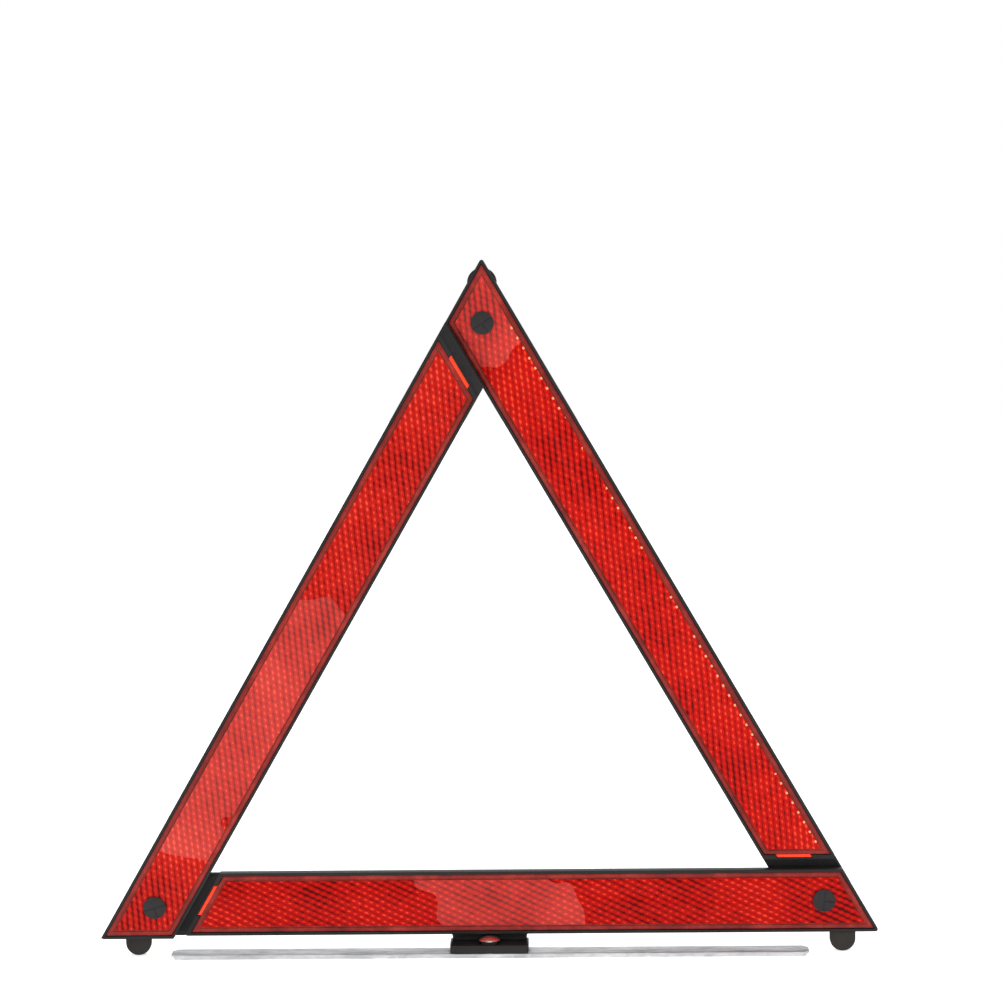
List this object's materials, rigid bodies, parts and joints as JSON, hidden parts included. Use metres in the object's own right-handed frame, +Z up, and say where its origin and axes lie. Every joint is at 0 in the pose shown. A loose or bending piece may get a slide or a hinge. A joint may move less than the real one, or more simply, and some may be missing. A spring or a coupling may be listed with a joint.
{
  "type": "warning triangle",
  "caption": "Folding roadside warning triangle: red prism reflectors in black frames, arms that fold flat on corner pins, and a turning steel leg.",
  "frame": {"origin": "on the road surface, at the middle of the object's footprint", "axes": "+Z up to the top corner, +X along the base arm to the right seen from the front, -Y the reflecting front"},
  "size_m": [0.4271, 0.0257, 0.3805],
  "materials": {
    "black_frame": "satin moulded ABS",
    "red_lens": "clear red prism acrylic",
    "seal_plate": "moulded ABS",
    "pin_plastic": "satin nylon",
    "clip_steel": "zinc plated spring steel",
    "foot_plastic": "matte moulded ABS",
    "leg_steel": "galvanised sheet steel",
    "rivet_nickel": "bright nickel plate"
  },
  "bodies": {
    "base": {"base_frame": "black_frame", "base_lens": "red_lens", "base_seal_plate": "seal_plate", "left_foot": "foot_plastic", "right_foot": "foot_plastic", "stand_bracket": "black_frame", "leg_rivet": "rivet_nickel", "leg_washer": "clip_steel", "left_pin": "pin_plastic", "left_pin_clip": "clip_steel", "right_pin": "pin_plastic", "right_pin_clip": "clip_steel"},
    "left_arm": {"left_frame": "black_frame", "left_lens": "red_lens", "left_seal_plate": "seal_plate"},
    "right_arm": {"right_frame": "black_frame", "right_lens": "red_lens", "right_seal_plate": "seal_plate", "top_pin": "pin_plastic", "top_pin_clip": "clip_steel", "top_keeper": "black_frame"},
    "leg": {"stand_leg": "leg_steel"}
  },
  "joints": [
    {"name": "left_fold", "type": "hinge", "parent": "base", "child": "left_arm", "pos_m": [-0.18369, 0, 0.0285], "axis": [0, 1, 0], "range_deg": [0, 60]},
    {"name": "right_fold", "type": "hinge", "parent": "base", "child": "right_arm", "pos_m": [0.18369, 0, 0.0285], "axis": [0, -1, 0], "range_deg": [0, 60]},
    {"name": "leg_turn", "type": "hinge", "parent": "base", "child": "leg", "pos_m": [0, -0.0055, 0.0012], "axis": [0, 0, 1], "range_deg": [0, 90]}
  ]
}
